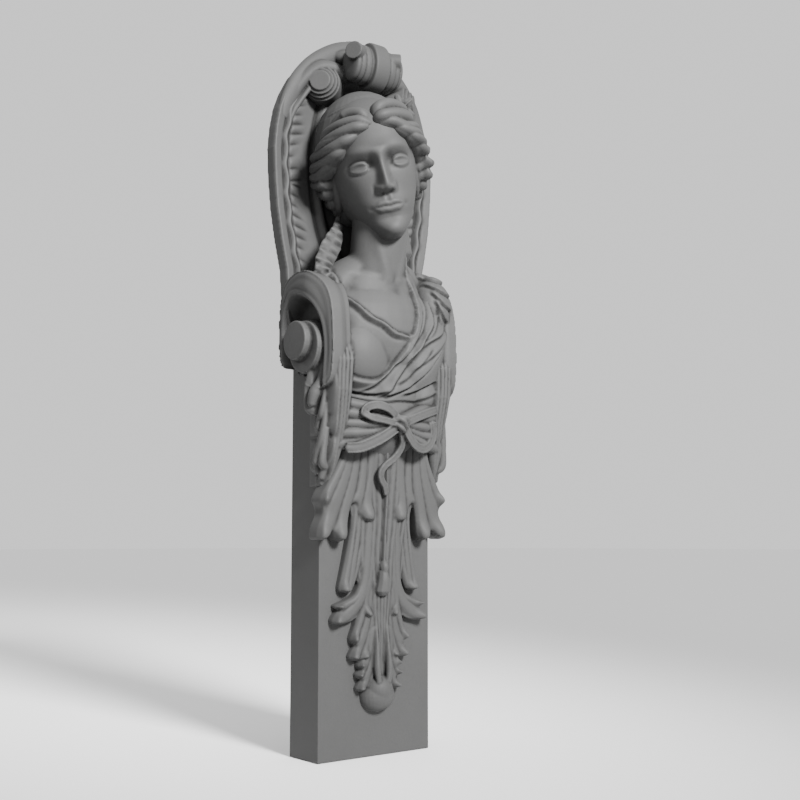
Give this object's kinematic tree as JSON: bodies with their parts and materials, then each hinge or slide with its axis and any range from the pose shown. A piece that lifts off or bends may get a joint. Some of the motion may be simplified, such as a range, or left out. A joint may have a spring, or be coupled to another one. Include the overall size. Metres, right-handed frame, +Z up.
{
  "type": "caryatid herm pilaster",
  "caption": "Carved stone herm pilaster: a draped female half-figure ending in hanging acanthus leaves on a square post, with an arched shell plate behind the head.",
  "frame": {"origin": "middle of the square post's flat underside", "axes": "+Z up, -Y out of the wall towards the viewer, +X to the right seen from the front"},
  "size_m": [0.2762, 0.1704, 1],
  "materials": {
    "stone": "matt, finely rubbed carved stone"
  },
  "bodies": {
    "root": {"herm_pilaster": "stone"}
  },
  "joints": []
}
